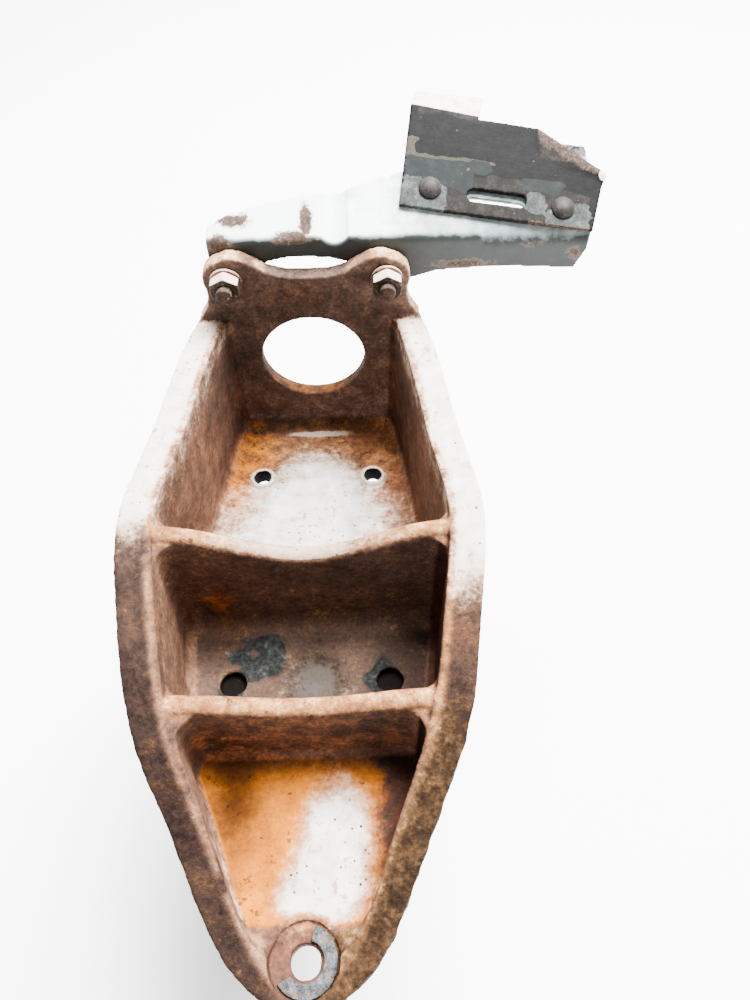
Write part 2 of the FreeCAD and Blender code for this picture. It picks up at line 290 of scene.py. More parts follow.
def casting_look():
    """White paint over rust.

    Masks: paint (white coat), tone (lightness of the rust), stain (dirt on the coat),
    grey (ash residue), crust (khaki scale), orange, red and dull (kinds of rust),
    calm (less mottling), and a brightness gain: painted light and shade set region by region, with
    darker old rust on the rim.
    """
    look = Look("white_paint_over_rust")
    broad = look.noise(34, 5, 0.6)
    medium = look.noise(9, 5, 0.62, 0.31)
    fine = look.noise(2.4, 4, 0.65, 0.77)
    grain = look.noise(0.7, 3, 0.6, 1.3)
    paint, tone, stain = look.mask("paint"), look.mask("tone"), look.mask("stain")
    grey, crust = look.mask("grey"), look.mask("crust")

    calm = look.mask("calm")
    lively = look.math("SUBTRACT", 1.0, calm)
    mottle = look.add(look.scaled(broad, 0.45), look.scaled(medium, 0.85), look.scaled(fine, 0.8),
                      look.scaled(grain, 0.4))
    mottle = look.times(mottle, look.math("SUBTRACT", 1.0, look.times(calm, 0.6)))
    rust = look.ramp(look.add(tone, mottle), RUST)
    red = look.ramp(look.add(tone, mottle), RED)
    orange = look.ramp(look.add(tone, mottle), ORANGE)
    share = look.step(look.add(look.mask("red"), look.scaled(medium, 0.6),
                               look.scaled(broad, 0.5)), 0.3, 0.75)
    rust = look.blend(share, rust, red)
    share = look.step(look.add(look.mask("orange"), look.scaled(medium, 0.7),
                               look.scaled(broad, 0.5),
                               look.scaled(fine, 0.3)), 0.3, 0.72)
    rust = look.blend(share, rust, orange)
    spots = look.step(look.add(look.noise(4.5, 4, 0.65, 6.1), look.scaled(broad, 0.3)), 0.6, 0.66)
    rust = look.blend(look.times(spots, 0.7), rust, (0.018, 0.009, 0.006))
    glow = look.step(look.add(look.noise(3.6, 4, 0.65, 8.3), look.scaled(broad, -0.3)), 0.62, 0.7)
    rust = look.blend(look.times(glow, 0.45), rust, (0.2, 0.085, 0.03))
    dull = look.ramp(look.add(tone, look.scaled(medium, 0.5), look.scaled(fine, 0.6),
                              look.scaled(grain, 0.3)),
                     DULL)
    rust = look.blend(look.mask("dull"), rust, dull)
    khaki = look.ramp(look.add(medium, look.scaled(fine, 0.9), look.scaled(tone, 0.6)), KHAKI)
    flaked = look.step(look.add(crust, look.scaled(medium, 0.9), look.scaled(fine, 0.5)), 0.35, 0.6)
    rust = look.blend(look.times(flaked, 0.85), rust, khaki)

    edge_value = look.add(paint, look.scaled(broad, 0.35), look.scaled(medium, 0.55),
                          look.scaled(fine, 0.4))
    soft_edge = look.add(paint, look.scaled(medium, 0.3), look.scaled(fine, 0.35),
                         look.scaled(grain, 0.2))
    covered = look.add(look.times(look.step(edge_value, 0.4, 0.62), lively),
                       look.times(look.step(soft_edge, 0.28, 0.74), calm))
    halo = look.step(edge_value, 0.92, 0.5)
    clean = look.ramp(look.add(medium, look.scaled(broad, 0.6)),
                      ((0.2, (0.4, 0.35, 0.29)), (0.5, (0.54, 0.52, 0.48)),
                       (0.8, (0.62, 0.61, 0.59))))
    dirty = look.ramp(look.add(fine, look.scaled(medium, 0.9)),
                      ((0.2, (0.2, 0.075, 0.03)), (0.5, (0.36, 0.19, 0.1)),
                       (0.85, (0.46, 0.35, 0.25))))
    stained = look.math("MAXIMUM", look.times(halo, 0.8),
                        look.times(stain, look.step(medium, 0.2, 0.62)))
    coat = look.blend(stained, clean, dirty)
    specks = look.step(look.add(look.cells(4.6), look.scaled(fine, -0.3)), 0.2, 0.1)
    specks = look.times(specks, look.step(look.noise(40, 3, 0.5, 2.2), 0.46, 0.6))
    coat = look.blend(specks, coat, (0.03, 0.014, 0.009))
    chips = look.step(look.add(look.noise(5, 5, 0.7, 3.1), look.scaled(broad, 0.5)), 0.6, 0.68)
    coat = look.blend(look.times(chips, 0.75), coat, (0.24, 0.11, 0.05))
    colour = look.blend(covered, rust, coat)

    ash = look.ramp(look.add(fine, look.scaled(medium, 0.7)), ASH)
    ashen = look.step(look.add(grey, look.scaled(medium, 0.7), look.scaled(fine, 0.3)), 0.42, 0.6)
    colour = look.blend(ashen, colour, ash)
    # painted light and shade: the colour is multiplied by a brightness set region by region
    gain = look.math("ADD", look.mask("gain"),
                     look.times(look.scaled(medium, 0.5), look.mask("gain")))
    colour = look.blend(1.0, colour, gain, "MULTIPLY")

    roughness = look.add(0.86, look.times(covered, -0.34), look.scaled(fine, 0.25))
    height = look.add(look.times(grain, 0.5), fine, look.times(medium, flaked, 1.5))
    pits = look.bump(height, 0.4, 0.8)
    flakes = look.bump(covered, 0.25, 0.6, pits)
    return look.finish(colour, roughness, flakes, specular=0.05)


def sheet_look():
    """Pale blue-grey paint with rust patches. Masks: rust, dark, pale (painted light: lifts the
    up-facing slope far above the leg below).
    """
    look = Look("pale_blue_grey_paint")
    broad = look.noise(40, 4, 0.6, 0.2)
    medium = look.noise(8, 5, 0.65, 0.9)
    fine = look.noise(1.9, 4, 0.7, 1.7)
    grain = look.noise(0.5, 3, 0.6, 0.4)
    # the pale mask lifts the colour as painted light
    base = look.ramp(look.add(0.22, look.scaled(medium, 0.5), look.scaled(broad, 0.35),
                              look.scaled(fine, 0.12), look.times(look.mask("pale"), 0.8)),
                     ((0.15, (0.011, 0.0132, 0.0125)), (0.5, (0.0225, 0.0285, 0.027)),
                      (0.75, (0.26, 0.31, 0.305)), (0.98, (0.74, 0.78, 0.78))))
    streak = look.step(look.noise(12, 5, 0.65, 4.4, (1, 1, 0.35)), 0.56, 0.72)
    base = look.blend(look.times(streak, 0.18), base, (0.05, 0.038, 0.028))
    scratches = look.step(look.noise(7, 6, 0.75, 2.7, (0.5, 3, 3)), 0.68, 0.72)
    base = look.blend(look.times(scratches, 0.5), base, (0.3, 0.32, 0.31))
    worn = look.add(look.mask("rust"), look.scaled(medium, 0.9), look.scaled(fine, 0.7),
                    look.scaled(broad, 0.3))
    bare = look.step(worn, 0.5, 0.58)
    halo = look.step(worn, 0.34, 0.52)
    base = look.blend(look.times(halo, 0.6), base, (0.14, 0.09, 0.06))
    rust = look.ramp(look.add(fine, look.scaled(medium, 0.7), look.scaled(grain, 0.4)),
                     ((0.15, (0.01, 0.006, 0.004)), (0.4, (0.035, 0.02, 0.014)),
                      (0.6, (0.075, 0.048, 0.035)),
                      (0.85, (0.26, 0.2, 0.16))))
    colour = look.blend(bare, base, rust)
    dark = look.step(look.add(look.mask("dark"), look.scaled(medium, 0.6), look.scaled(fine, 0.5)),
                     0.4, 0.65)
    colour = look.blend(look.times(dark, 0.95), colour, (0.007, 0.0055, 0.005))
    roughness = look.add(0.5, look.times(bare, 0.4), look.scaled(fine, 0.2))
    pits = look.bump(look.add(look.times(fine, 0.4), look.times(bare, grain, 1.6)), 0.3, 0.6)
    edge = look.bump(bare, -0.2, 0.7, pits)
    return look.finish(colour, roughness, edge)


def plate_look():
    """Black paint flaking to blue-grey. Masks: blue, cream, brown, pale, rust, and a painted
    highlight along the top flange and on its corner.
    """
    look = Look("black_over_blue_paint")
    broad = look.noise(26, 4, 0.6, 1.1)
    medium = look.noise(7, 5, 0.66, 0.5)
    fine = look.noise(1.7, 4, 0.7, 2.3)
    grain = look.noise(0.5, 3, 0.6, 0.6)
    wobble = look.add(look.scaled(medium, 0.55), look.scaled(fine, 0.35), look.scaled(broad, 0.15))
    black = look.ramp(look.add(fine, look.scaled(medium, 0.9)),
                      ((0.2, (0.0009, 0.0008, 0.0009)), (0.55, (0.0026, 0.0025, 0.0026)),
                       (0.9, (0.0095, 0.0085, 0.008))))
    brown = look.ramp(look.add(fine, look.scaled(medium, 0.9), look.scaled(grain, 0.4)),
                      ((0.2, (0.0022, 0.0017, 0.0015)), (0.5, (0.0075, 0.0063, 0.0056)),
                       (0.85, (0.026, 0.0215, 0.0185))))
    blue = look.ramp(look.add(medium, look.scaled(fine, 0.6)),
                     ((0.2, (0.005, 0.0062, 0.0062)), (0.55, (0.0085, 0.0105, 0.0102)),
                      (0.85, (0.018, 0.0215, 0.0205))))
    cream = look.ramp(look.add(fine, look.scaled(medium, 0.5)),
                      ((0.2, (0.02, 0.016, 0.01)), (0.55, (0.034, 0.03, 0.021)),
                       (0.85, (0.08, 0.077, 0.062))))
    chalk = look.ramp(look.add(medium, look.scaled(fine, 0.8)),
                      ((0.2, (0.01, 0.0095, 0.008)), (0.5, (0.03, 0.034, 0.033)),
                       (0.85, (0.09, 0.1, 0.098))))
    # painted highlight: a near-white colour for the top flange's edge and corner
    painted_highlight = look.ramp(look.add(fine, look.scaled(medium, 1.2)),
                      ((0.25, (0.5, 0.33, 0.27)), (0.5, (0.66, 0.58, 0.55)),
                       (0.8, (0.72, 0.69, 0.68))))
    orange = look.ramp(look.add(fine, look.scaled(grain, 0.7)),
                       ((0.2, (0.01, 0.006, 0.004)), (0.55, (0.04, 0.026, 0.019)),
                        (0.9, (0.22, 0.17, 0.14))))
    colour = look.blend(look.step(look.add(look.mask("brown"), wobble), 0.4, 0.6), black, brown)
    colour = look.blend(look.step(look.add(look.mask("cream"), wobble), 0.46, 0.54), colour, cream)
    colour = look.blend(look.step(look.add(look.mask("blue"), wobble), 0.47, 0.52), colour, blue)
    colour = look.blend(look.step(look.add(look.mask("pale"), wobble), 0.46, 0.53), colour, chalk)
    speck = look.step(look.noise(4.5, 3, 0.6, 5.2), 0.7, 0.73)
    colour = look.blend(look.times(speck, 0.7), colour, (0.06, 0.06, 0.056))
    colour = look.blend(look.step(look.add(look.mask("rust"), look.times(wobble, 1.2)), 0.4, 0.7),
                        colour, orange)
    colour = look.blend(look.step(look.add(look.mask("painted_highlight"), look.times(wobble, 0.5)), 0.42,
                                  0.55), colour, painted_highlight)
    roughness = look.add(0.62, look.scaled(fine, 0.3))
    pits = look.bump(look.add(fine, look.times(grain, 0.4)), 0.18, 0.6)
    return look.finish(colour, roughness, pits, specular=0.05)


def metal_look(name, stops, flecks, fleck_level=0.62, roughness=0.75, metallic=0.15, depth=0.3,
               lit_top_colour=None):
    """Rough rusty metal with flecks of another colour, and painted light: a lighter colour on the
    up-facing faces where the mask top is set.
    """
    look = Look(name)
    medium = look.noise(4, 5, 0.65, 0.7)
    fine = look.noise(1.2, 4, 0.7, 1.9)
    grain = look.noise(0.4, 3, 0.6, 0.2)
    colour = look.ramp(look.add(medium, look.scaled(fine, 0.8), look.scaled(grain, 0.3)), stops)
    fleck = look.step(look.add(look.noise(2.6, 5, 0.7, 3.3), look.scaled(medium, 0.4)),
                      fleck_level, fleck_level + 0.07)
    colour = look.blend(look.times(fleck, 0.85), colour, flecks)
    # painted light: up-facing faces given a lighter colour
    if lit_top_colour:
        lit_top = look.step(look.add(look.mask("top"), look.scaled(medium, 0.5),
                                   look.scaled(fine, 0.5)), 0.42, 0.62)
        colour = look.blend(look.times(lit_top, 0.92), colour, lit_top_colour)
    pits = look.bump(look.add(medium, fine, look.times(grain, 0.4)), depth, 0.8)
    return look.finish(colour, look.add(roughness, look.scaled(fine, 0.3)), pits, metallic, 0.15)


# ---------------------------------------------------------------- the casting

VOXEL_CASTING = 1.1 * MM
TIP_SEAT_R = 16.6
WALL_THICK = 10
RIB_1_Y = 180
RIB_2_Y = 100
BOSS_X = 38
MIDDLE_DARK_R = 7.9
BOSS_DARK_R = 5.9


def casting_measures(points):
    """Rim height of every point and its inset from the rim's outline, measured on the casting."""
    y = points[:, 1]
    bins = np.arange(y.min() - 2, y.max() + 6, 4.0)
    centre = (bins[:-1] + bins[1:]) / 2
    arm = (np.abs(points[:, 0]) > 17) & (points[:, 1] < 340)
    width = np.array([np.abs(points[(y >= a) & (y < b), 0]).max(initial=0)
                      for a, b in zip(bins[:-1], bins[1:])])
    height = np.array([points[arm & (y >= a) & (y < b), 2].max(initial=-50)
                       for a, b in zip(bins[:-1], bins[1:])])
    known = height > -40
    half = np.interp(y, centre, width)
    top = np.interp(y, centre[known], height[known])
    return top, half - np.abs(points[:, 0])


class Masks:
    """Named values for every point of a piece, repainted region by region."""

    def __init__(self, count, **start):
        self.values = {name: np.full(count, value) for name, value in start.items()}

    def __getitem__(self, name):
        return self.values[name]

    def lay(self, share, **amounts):
        """Each named mask becomes its amount where share is 1."""
        for name, amount in amounts.items():
            self.values[name] = self.values[name] * (1 - share) + amount * share

    def write(self, mesh):
        for name, values in self.values.items():
            add_mask(mesh, name, values)


class Zones:
    """Where the regions of the casting lie, each as a soft share of its points."""

    def __init__(self, mesh):
        self.p = p = mesh_points(mesh) / MM
        self.n = n = mesh_normals(mesh)
        self.x, self.y, self.z = x, y, z = p.T
        top, inset = casting_measures(p)
        self.wander = rough_noise(p, 26, 3)
        self.wander_small = rough_noise(p, 9, 4)
        self.wall_y = wall_y = MOUNTS["mount_wall_back"].y / MM - WALL_THICK
        at_wall = step(wall_y - 4, wall_y - 1, y)

        rim = step(20, 15, inset) * step(14, 9, top - z) * step(wall_y - 1, wall_y - 6, y)
        nose = step(18, 8, y) * step(-6, 4, z) * step(-0.2, 0.2, n[:, 2])
        self.rim = rim = np.clip(rim + nose, 0, 1)
        self.inner_edge = rim * step(12, 17, inset)
        self.inside = inside = step(14, 17, inset) * (1 - rim) * step(-14, -10, y)
        self.floor = step(0.3, 0.7, n[:, 2]) * inside * step(36, 20, z)
        self.wall = wall = step(-0.55, -0.8, n[:, 1]) * at_wall
        self.ear_top = step(34, 42, np.abs(x)) * step(88, 96, z) * step(0.0, 0.45,
                                                                        n[:, 2]) * at_wall
        self.neck_edge = step(70, 78, z) * step(0.4, 0.7, np.abs(n[:, 0])) * at_wall
        self.saddle = step(42, 33, np.abs(x)) * step(78, 84, z) * (1 - wall) * at_wall
        self.side = inside * step(0.4, 0.7, np.abs(n[:, 0])) * (1 - wall)
        self.rib_front = inside * step(-0.5, -0.8, n[:, 1]) * (1 - wall)
        ribs = blob(p, (0, RIB_1_Y, 0), (900, 6, 900)) + blob(p, (0, RIB_2_Y, 0), (900, 6, 900))
        facing_up = step(0.2, 0.6, n[:, 2])
        self.rib_top = np.clip(ribs * 1.3, 0, 1) * facing_up * step(40, 46, z) * inside
        self.outside = (1 - rim) * (1 - inside) * (1 - wall)

    def spot(self, place, radii):
        return blob(self.p, place, radii)


def lay_wall(zones, masks):
    """The outer skin's old paint, and the dull brown mount wall and its saddle."""
    x, z, wall = zones.x, zones.z, zones.wall
    masks.lay(zones.outside, paint=0.42 + 0.1 * zones.wander, stain=0.6)
    between_ears = zones.spot((-8, zones.wall_y, 100), (22, 30, 12))
    sideways = 0.07 * step(-20, 30, x) - 0.05 * step(-20, -60, x)
    masks.lay(wall, paint=0.0,
              tone=0.55 + 0.08 * zones.wander + 0.05 * zones.wander_small + 0.08 * step(30, 0, z)
              + sideways,
              dull=0.88 - 0.3 * between_ears - 0.3
              * zones.spot((-50, zones.wall_y, 40), (12, 30, 30)),
              orange=-0.5 + 0.6 * between_ears + 0.7
              * zones.spot((-50, zones.wall_y, 30), (14, 30, 40)),
              red=0.3 + 0.3 * step(30, 0, z))
    masks.lay(zones.saddle, paint=0.08, tone=0.5 + 0.1 * zones.wander_small, dull=0.85)


def lay_sides(zones, masks):
    """Inner side walls of the three bays, with painted light and shade."""
    x, y, z, side, wander = zones.x, zones.y, zones.z, zones.side, zones.wander
    left = step(0, -10, x)
    masks.lay(side, dull=0.3, calm=0.75)
    # painted light: the upper bay's side walls lighter towards the top and towards the right
    masks.lay(side * step(178, 186, y),
              paint=0.08 + 0.3 * step(45, 80, z) + 0.12 * wander,
              tone=0.66 - 0.14 * step(250, 330, y) + 0.14 * wander,
              gain=0.6 + 0.2 * step(50, 80, z) + 0.12 * step(0, 20, x),
              red=0.45, orange=0.25, stain=0.95)
    # painted light: the middle bay's left wall a little lighter towards the top
    masks.lay(side * step(182, 176, y) * step(98, 103, y),
              gain=0.75 + 0.1 * left * step(10, 40, z),
              paint=0.02 + 0.3 * left * step(30, 60, z),
              tone=0.4 + 0.22 * left + 0.1 * wander,
              red=0.8 - 0.5 * left, stain=1.0)
    # painted light and shade: the tip bay's side walls brightened, with painted shade towards rib
    # 2, strong on the right and weaker on the left
    shade = 1.19 * step(48, 68, y) * step(0, 20, x) + 0.4 * step(76, 88, y) * left
    masks.lay(side * step(98, 93, y),
              paint=0.14 + 0.3 * step(60, 20, y) + 0.2 * left * step(80, 60, y),
              gain=1.25 - shade,
              tone=0.62 - 0.1 * step(70, 90, y) + 0.12 * wander,
              red=0.35, orange=0.35 - 0.1 * left)


def lay_upper_floor(zones, masks):
    """Upper bay floor: cream in the middle, orange and red brown towards the walls, with painted
    light on its right side and a painted highlight along the mount wall.
    """
    x, y, z = zones.x, zones.y, zones.z
    boss_y = MOUNTS["boss_holes"].y / MM
    cream = zones.spot((-4, 236, 0), (68, 52, 400)) + 0.75 * zones.spot((0, boss_y - 8, 0),
                                                                        (26, 34, 400))
    cream = np.clip(cream * 1.15, 0, 1)
    # painted light: the right side of the floor brightened, and the cream lifted left of that
    masks.lay(zones.floor * step(186, 190, y),
              paint=0.12 + 0.78 * cream + 0.16 * zones.wander,
              tone=0.56 + 0.12 * zones.wander + 0.14 * step(25, 50, x) + 0.08 * step(280, 300, y),
              calm=0.55,
              orange=0.3 + 0.3 * zones.spot((-54, 290, 0), (26, 60, 400)),
              red=0.25 + 0.2 * zones.spot((50, 285, 0), (26, 50, 400)) + 0.2 * zones.wander_small,
              gain=0.42 + 0.85 * step(25, 52, x) + 0.26 * cream * step(60, 10, x),
              stain=0.9 - 0.85 * cream)
    # painted highlight: a pale crescent line where the floor meets the mount wall
    painted_ledge_highlight = zones.spot((0, zones.wall_y - 14, -14), (22, 2.4, 5)) * zones.inside
    masks.lay(np.clip(painted_ledge_highlight * 1.4, 0, 1), paint=0.95)
    for boss_x in (-BOSS_X, BOSS_X):
        ring = np.hypot(x - boss_x, y - boss_y)
        band = step(5, 6, ring) * step(11, 9, ring) * step(-14, -10, z) * zones.inside
        masks.lay(band, paint=0.8, stain=0.35)


def lay_middle_bay(zones, masks):
    """Middle bay floor and the face behind it: dull olive brown, a pale spot, grey residue; painted
    light brightens the olive brown, with painted shade at the foot of rib 1.
    """
    x, y, z, wander_small = zones.x, zones.y, zones.z, zones.wander_small
    bay = zones.inside * step(103, 106, y) * step(178, 174, y) * (1 - zones.side)
    olive = np.clip(bay * np.maximum(zones.floor, zones.rib_front), 0, 1)
    right = step(15, 50, x)
    corner = zones.spot((-52, 170, 24), (16, 16, 26))
    bright_rust = zones.spot((-52, 170, 24), (13, 14, 24)) * step(-0.5, 0.2, wander_small)
    # painted light: the olive brown brightened, most in the left back corner and on the right
    masks.lay(olive, paint=0.02, tone=0.64 + 0.14 * zones.wander,
              red=0.1 + 0.5 * step(20, 50, x),
              orange=bright_rust + 0.3 * zones.spot((-34, 150, 2), (24, 16, 10)),
              gain=1.3 + 0.7 * corner + 0.2 * right,
              dull=0.75 + 0.15 * step(15, 40, x) - 0.75 * corner,
              crust=0.42, stain=0.72, calm=0.5)
    # painted shade along the foot of rib 1
    masks.lay(olive * step(26, 8, z) * step(176, 160, y), gain=0.34 - 0.06 * right)
    pale = zones.spot((2, 134, 0), (22, 22, 60)) * step(-0.6, 0.1, wander_small + 0.4)
    masks.lay(olive, paint=0.85 * pale)
    masks.lay(olive * step(0.3, 0.7, pale), gain=0.07)
    residue = zones.spot((-27, 151, 1), (20, 17, 12)) + 0.9 * zones.spot((-45, 134, 1), (13, 12, 9))
    residue = residue + 0.85 * zones.spot((38, 136, 1), (12, 19, 9))
    ragged = step(-0.6, 0.5, rough_noise(zones.p, 11, 6) + 0.35 * residue)
    masks.lay(1.0, grey=np.clip(residue * 1.15, 0, 0.85) * ragged * bay * zones.floor)


def lay_tip_bay(zones, masks):
    """Tip bay: orange on the left, white right of the middle, fading to cream, with a painted
    shadow on the left of the floor and rib 2's face brightened as painted light.
    """
    x, y = zones.x, zones.y
    white = zones.spot((14, 54, 0), (19, 27, 60)) + 0.8 * zones.spot((4, 24, 0), (24, 17, 60))
    white = np.clip(white * 1.1, 0, 1)
    shadow = zones.spot((-38, 72, 0), (13, 24, 60))
    masks.lay(zones.floor * step(97, 93, y),
              paint=0.08 + 0.9 * white + 0.08 * zones.wander,
              tone=0.68 - 0.2 * step(76, 92, y) - 0.25 * step(22, 44, x) - 0.3 * shadow,
              orange=1.0 - 0.75 * step(24, 44, x) - 0.3 * step(84, 94, y),
              calm=0.85, dull=0.4 * step(80, 92, y),
              gain=0.54 + 0.4 * white + 0.2 * step(34, 14, y) - 0.36 * shadow,
              red=0.5 * step(20, 40, x), stain=0.15)
    # painted light: rib 2's shaded front face brightened
    masks.lay(zones.rib_front * step(97, 93, y), paint=0.02, dull=0.5, gain=1.45,
              tone=0.72 - 0.16 * step(0, 40, x) - 0.1 * step(-20, -40, x) + 0.1 * zones.wander,
              orange=0.45 * step(20, -20, x), red=0.3 + 0.4 * step(0, 40, x))


def lay_rim(zones, masks):
    """Rim: painted towards the mount wall, scaly rust towards the tip."""
    x, y, rim, wander = zones.x, zones.y, zones.rim, zones.wander
    old = step(186, 140, y + 14 * wander + 14 * np.sign(x))
    tip = step(112, 78, y + 14 * wander)
    right = step(-8, 8, x)
    masks.lay(rim, paint=0.95 - 0.78 * old - 0.1 * tip,
              tone=0.5 - 0.1 * old + (0.08 * right - 0.04 * (1 - right)) * tip + 0.12 * wander,
              gain=1.0 - (0.58 - 0.14 * right) * old,
              stain=0.15 + 0.55 * old + 0.4 * step(305, 335, y),
              crust=0.3 * old + tip * (0.1 + 0.3 * right),
              dull=0.4 * old * (1 - right), calm=0.5,
              red=0.3 * old * (1 - 0.6 * right) + 0.2 * tip * (1 - right),
              orange=0.1 + 0.12 * right * old)
    rusty_edge = np.clip(zones.inner_edge * step(-0.5, 0.2, zones.wander_small + 0.25), 0, 1)
    masks.lay(rusty_edge, paint=0.4 - 0.1 * old, tone=0.84 - 0.04 * tip, gain=0.9,
              orange=0.35, stain=0.95)


def lay_tops(zones, masks):
    """Rib tops, ear tops and the tip's seat: pale with rusty stains."""
    p, x, y, z = zones.p, zones.x, zones.y, zones.z
    middle = blob(p, (0, RIB_1_Y, z.mean()), (36, 900, 900))
    masks.lay(zones.rib_top, paint=0.34 + step(140, 150, y) * 0.42 * middle,
              tone=0.84 + 0.06 * zones.wander_small, gain=0.8, orange=0.28, dull=0.0, calm=0.4,
              stain=0.9, crust=0.0)
    for share in (zones.ear_top, zones.neck_edge):
        masks.lay(share, dull=0.2, paint=0.44 + 0.2 * zones.wander, tone=0.88, gain=1.0, stain=0.75,
                  orange=0.0, red=0.0)
    around = step(TIP_SEAT_R + 5.5, TIP_SEAT_R + 1, np.hypot(x, y))
    masks.lay(around * step(-8, -2, z) * step(12, 8, z), paint=0.12 + 0.3 * step(4, 14, y),
              tone=0.58, red=0.6, gain=0.65)


def lay_holes(zones, masks):
    """Painted shade: dark insides of the four holes in the floor."""
    middle_hole = MOUNTS["right_middle_hole"] / MM
    boss_hole = MOUNTS["boss_holes"] / MM + Vector((BOSS_X, 0, 0))
    for hole, radius in ((middle_hole, MIDDLE_DARK_R), (boss_hole, BOSS_DARK_R)):
        reach = np.hypot(np.abs(zones.x) - hole.x, zones.y - hole.y)
        inner = step(radius + 0.4, radius - 0.4, reach) * step(4, 0, zones.z - hole.z)
        masks.lay(inner, gain=0.12, paint=0.0, grey=0.0, tone=0.15)


def build_casting():
    obj = remeshed("carrier_casting", "casting_body", VOXEL_CASTING, 3)
    zones = Zones(obj.data)
    p, n = zones.p, zones.n
    masks = Masks(len(p), paint=0.3, tone=0.45, stain=0.5, grey=0.0, crust=0.0, orange=0.0, red=0.0,
                  gain=1.0, dull=0.0, calm=0.0)
    for lay in (lay_wall, lay_sides, lay_upper_floor, lay_middle_bay, lay_tip_bay, lay_rim,
                lay_tops, lay_holes):
        lay(zones, masks)
    masks.write(obj.data)
    relief = 0.14 * rough_noise(p, 6, 11) + 0.3 * smooth_noise(p, 24, 21)
    scale = masks["crust"] * (2.0 * np.abs(rough_noise(p, 8, 31)) - 0.35)
    lumps = np.clip(0.6 + 1.3 * rough_noise(p, 7, 41), 0, 2) * step(0.3, 0.8, masks["grey"]) * 1.5
    set_points(obj.data, (p + n * (relief + scale + lumps)[:, None]) * MM)
    finish_piece(obj, "carrier", casting_look(), "carrier_casting")


# ---------------------------------------------------------------- brackets

FOLD_Z = 133
SLOPE_DEG = 30
# strength, place (its y from the bracket's back) and radii of each rust patch, in millimetres
BRACKET_RUST = ((0.85, (-52, 1, 131), (9, 9, 6)), (0.8, (-42, 11, 139), (14, 7, 5)),
                (0.9, (-6, 2, 133), (15, 6, 4)), (0.95, (1, 10, 139), (5, 15, 10)),
                (0.5, (27, 24, 145), (3, 8, 6)), (0.62, (92, 0, 114), (26, 6, 5)),
                (0.42, (142, 0, 127), (24, 8, 4)), (0.6, (164, 0, 120), (8, 9, 7)),
                (0.55, (166, 50, 160), (14, 12, 12)))


def centre_of(node):
    low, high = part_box(node)
    return np.array([(a + b) / 2 for a, b in zip(low, high)]) / MM


def slope_axes():
    """Rivet row direction, up-slope direction and normal of the slotted bracket."""
    left, right = centre_of("left_rivet"), centre_of("right_rivet")
    along = (right - left) / np.linalg.norm(right - left)
    tilt = math.radians(SLOPE_DEG)
    normal = np.array([0, -math.sin(tilt), math.cos(tilt)])
    up = np.cross(normal, along)
    return left, along, up / np.linalg.norm(up), normal


def build_upper_bracket():
    obj = remeshed("upper_bracket", "upper_bracket_sheet", 0.9 * MM, 1)
    mesh = obj.data
    p, n = mesh_points(mesh) / MM, mesh_normals(mesh)
    x, y, z = p.T
    wander = rough_noise(p, 22, 51)
    _, back, bottom = np.array(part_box("upper_bracket")[0]) / MM
    up_slope = (y - back) / math.cos(math.radians(SLOPE_DEG))
    rust = 0.42 * step(16, 8, z - bottom) * step(60, 80, x)
    for strength, (spot_x, spot_y, spot_z), radii in BRACKET_RUST:
        rust = np.maximum(rust, strength * blob(p, (spot_x, back + spot_y, spot_z), radii))
    dark = 0.95 * blob(p, (160, back + 50, FOLD_Z + 29), (22, 12, 16)) * step(40, 48, up_slope)
    # pale is painted light: the up-facing slope above the fold much lighter than the leg below,
    # lightest to the left; the leg darker towards its bottom
    pale = step(-0.5, 3.5, up_slope + 0.8 * wander) * (0.62 + 0.38 * step(80, 30, x))
    leg = step(106, 128, z) * step(4, -2, up_slope)
    pale = pale + (0.14 + 0.2 * step(60, 100, x)) * leg - 0.08 * step(118, 108, z)
    for name, values in (("rust", rust + 0.1 * wander), ("dark", dark), ("pale", pale)):
        add_mask(mesh, name, values)
    relief = 0.05 * rough_noise(p, 7, 61) + 0.25 * smooth_noise(p, 45, 62)
    pitted = 0.22 * step(0.4, 0.7, rust) * rough_noise(p, 3, 63)
    dent = 1.2 * blob(p, (28, back + 22, FOLD_Z + 12), (4, 7, 7))
    inward = -np.array([0, -0.5, 0.87])
    set_points(mesh, (p + n * (relief + pitted)[:, None] + inward * dent[:, None]) * MM)
    finish_piece(obj, "carrier", sheet_look(), "upper_bracket")


